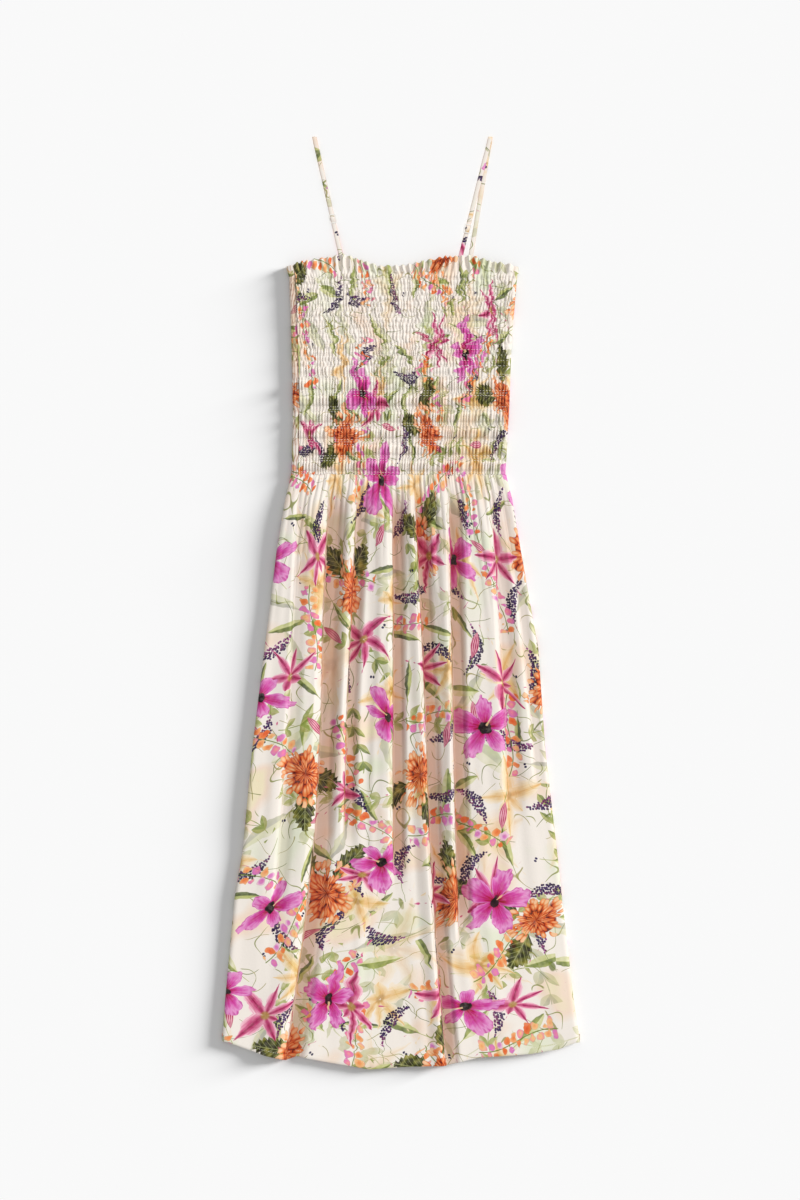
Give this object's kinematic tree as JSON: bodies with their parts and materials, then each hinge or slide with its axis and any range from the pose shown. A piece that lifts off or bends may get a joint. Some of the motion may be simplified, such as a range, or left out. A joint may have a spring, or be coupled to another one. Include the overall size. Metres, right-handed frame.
{
  "type": "smocked dress",
  "caption": "Strappy summer dress laid flat, with a shirred bodice, a frilled top edge and a long gathered skirt.",
  "frame": {"origin": "on the surface that the dress lies on, under the middle of its outline", "axes": "+X to the right as the front is seen, +Y up the dress from hem to straps, +Z out of the surface"},
  "size_m": [0.466, 1.216, 0.0194],
  "materials": {
    "printed_cloth": "light woven viscose, cream, with a flower print",
    "strap_cloth": "the same cloth as narrow rouleau tubes",
    "slider_nylon": "smooth white nylon"
  },
  "bodies": {
    "root": {"bodice_front": "printed_cloth", "bodice_back": "printed_cloth", "skirt_front": "printed_cloth", "skirt_back": "printed_cloth", "strap_left": "strap_cloth", "strap_right": "strap_cloth", "slider_left": "slider_nylon", "slider_right": "slider_nylon"}
  },
  "joints": []
}
